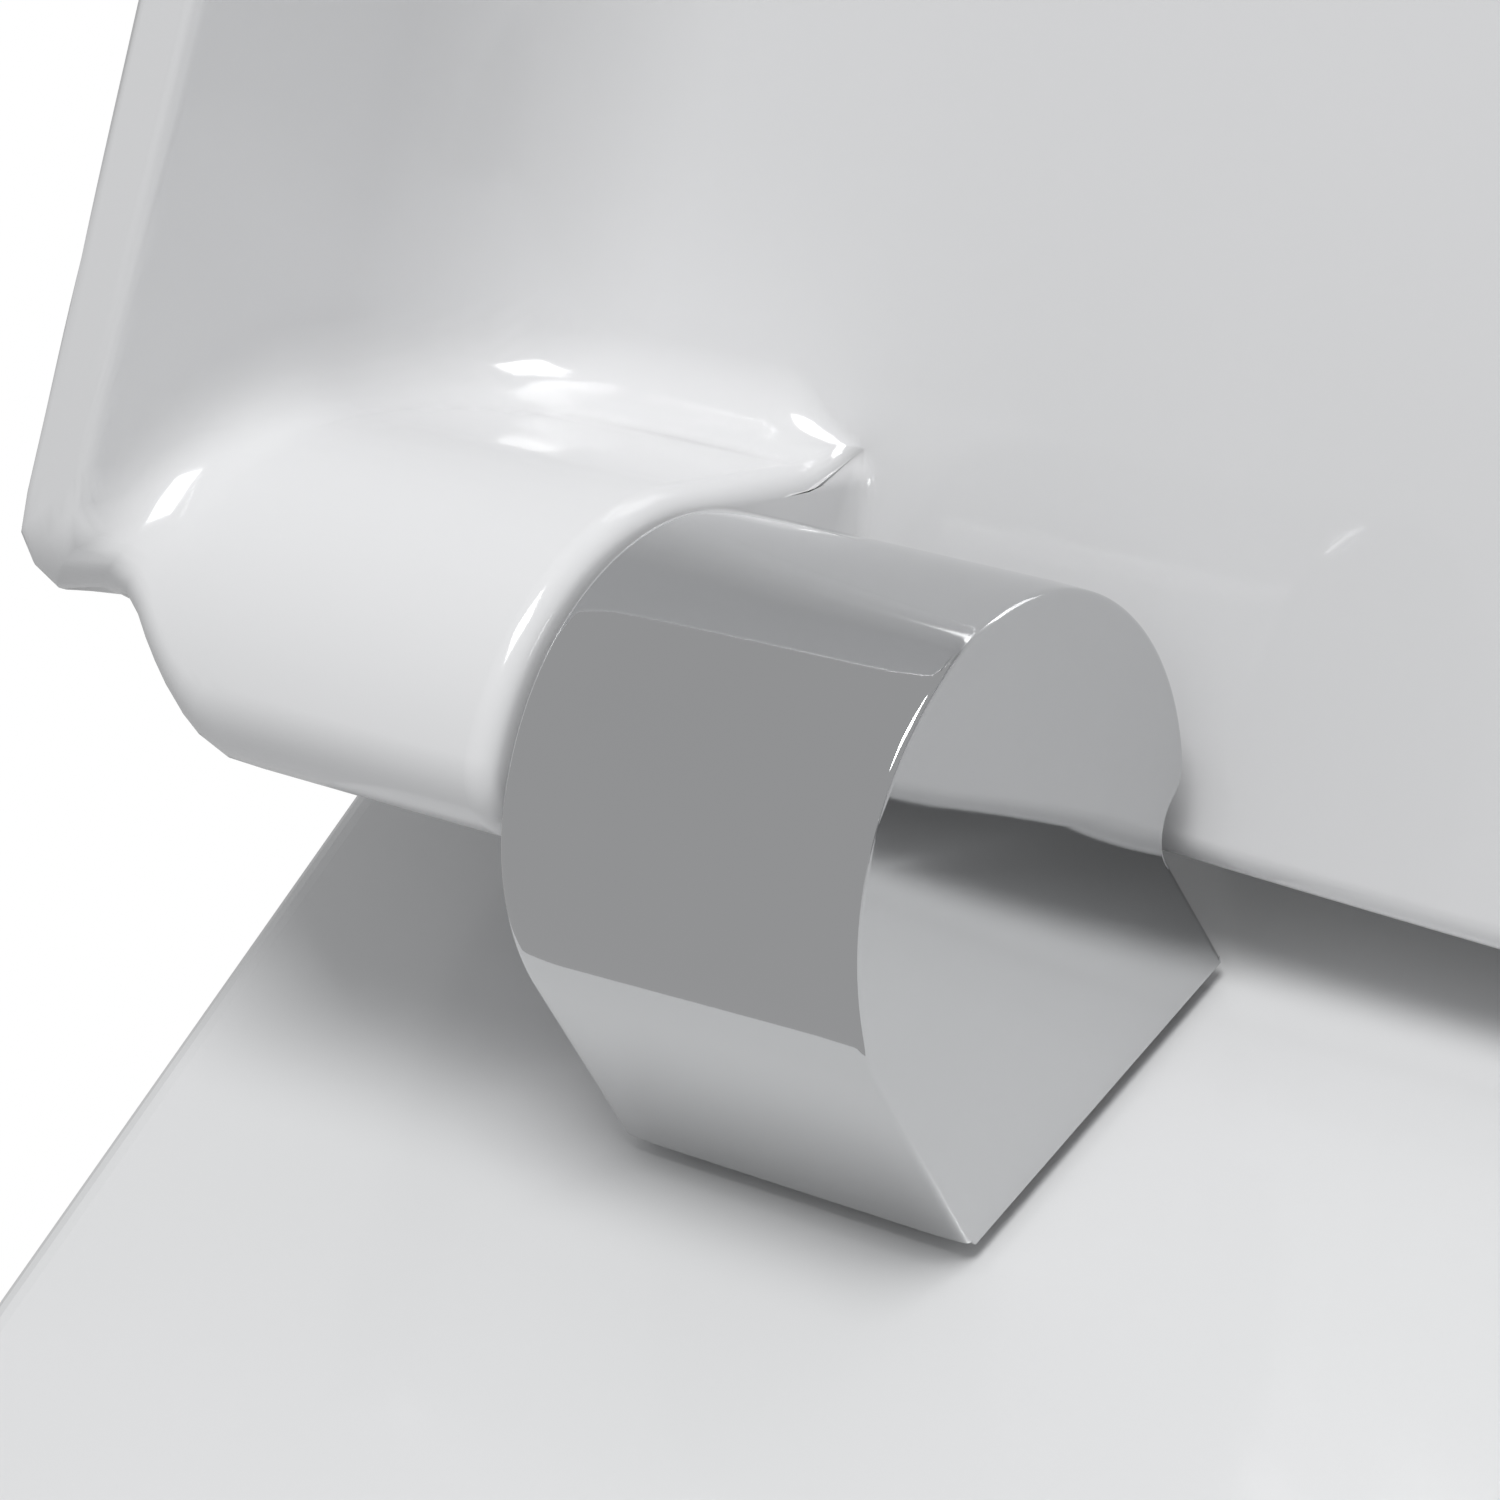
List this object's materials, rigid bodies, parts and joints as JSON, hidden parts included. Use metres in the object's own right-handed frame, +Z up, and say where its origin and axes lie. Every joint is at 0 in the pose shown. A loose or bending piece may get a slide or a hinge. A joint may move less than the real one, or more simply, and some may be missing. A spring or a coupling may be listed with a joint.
{
  "type": "urinal lid",
  "caption": "White urinal lid with a side rim, shown raised on chrome hinge posts with deck studs, gaskets and nuts.",
  "frame": {"origin": "on the deck surface, midway between the two mounting studs", "axes": "+X along the hinge line, to the right as seen from the front; +Y to the wall; +Z up out of the deck"},
  "size_m": [0.2988, 0.1844, 0.3586],
  "materials": {
    "lid_white": "polished thermoset",
    "post_chrome": "bright chrome on a polished casting",
    "pin_steel": "turned steel",
    "bush_plastic": "moulded",
    "screw_steel": "blackened steel",
    "gasket_rubber": "matt",
    "stud_steel": "zinc plated",
    "cone_rubber": "matt",
    "washer_steel": "zinc plated",
    "nut_plastic": "moulded",
    "buffer_rubber": "light grey, matt"
  },
  "bodies": {
    "posts": {"hinge_post_left": "post_chrome", "hinge_post_right": "post_chrome", "hinge_pin_left": "pin_steel", "hinge_pin_right": "pin_steel", "pin_screw_left": "screw_steel", "pin_screw_right": "screw_steel", "base_gasket_left": "gasket_rubber", "base_gasket_right": "gasket_rubber", "mounting_stud_left": "stud_steel", "mounting_stud_right": "stud_steel", "cone_washer_left": "cone_rubber", "cone_washer_right": "cone_rubber", "flat_washer_left": "washer_steel", "flat_washer_right": "washer_steel", "wing_nut_left": "nut_plastic", "wing_nut_right": "nut_plastic"},
    "cover": {"lid": "lid_white", "hinge_bush_left": "bush_plastic", "hinge_bush_right": "bush_plastic", "buffer_front_left": "buffer_rubber", "buffer_front_right": "buffer_rubber", "buffer_side_left": "buffer_rubber", "buffer_side_right": "buffer_rubber"}
  },
  "joints": [
    {"name": "lid_hinge", "type": "hinge", "parent": "posts", "child": "cover", "pos_m": [0, 0, 0.0195], "axis": [1, 0, 0], "range_deg": [0, 117.5]}
  ]
}
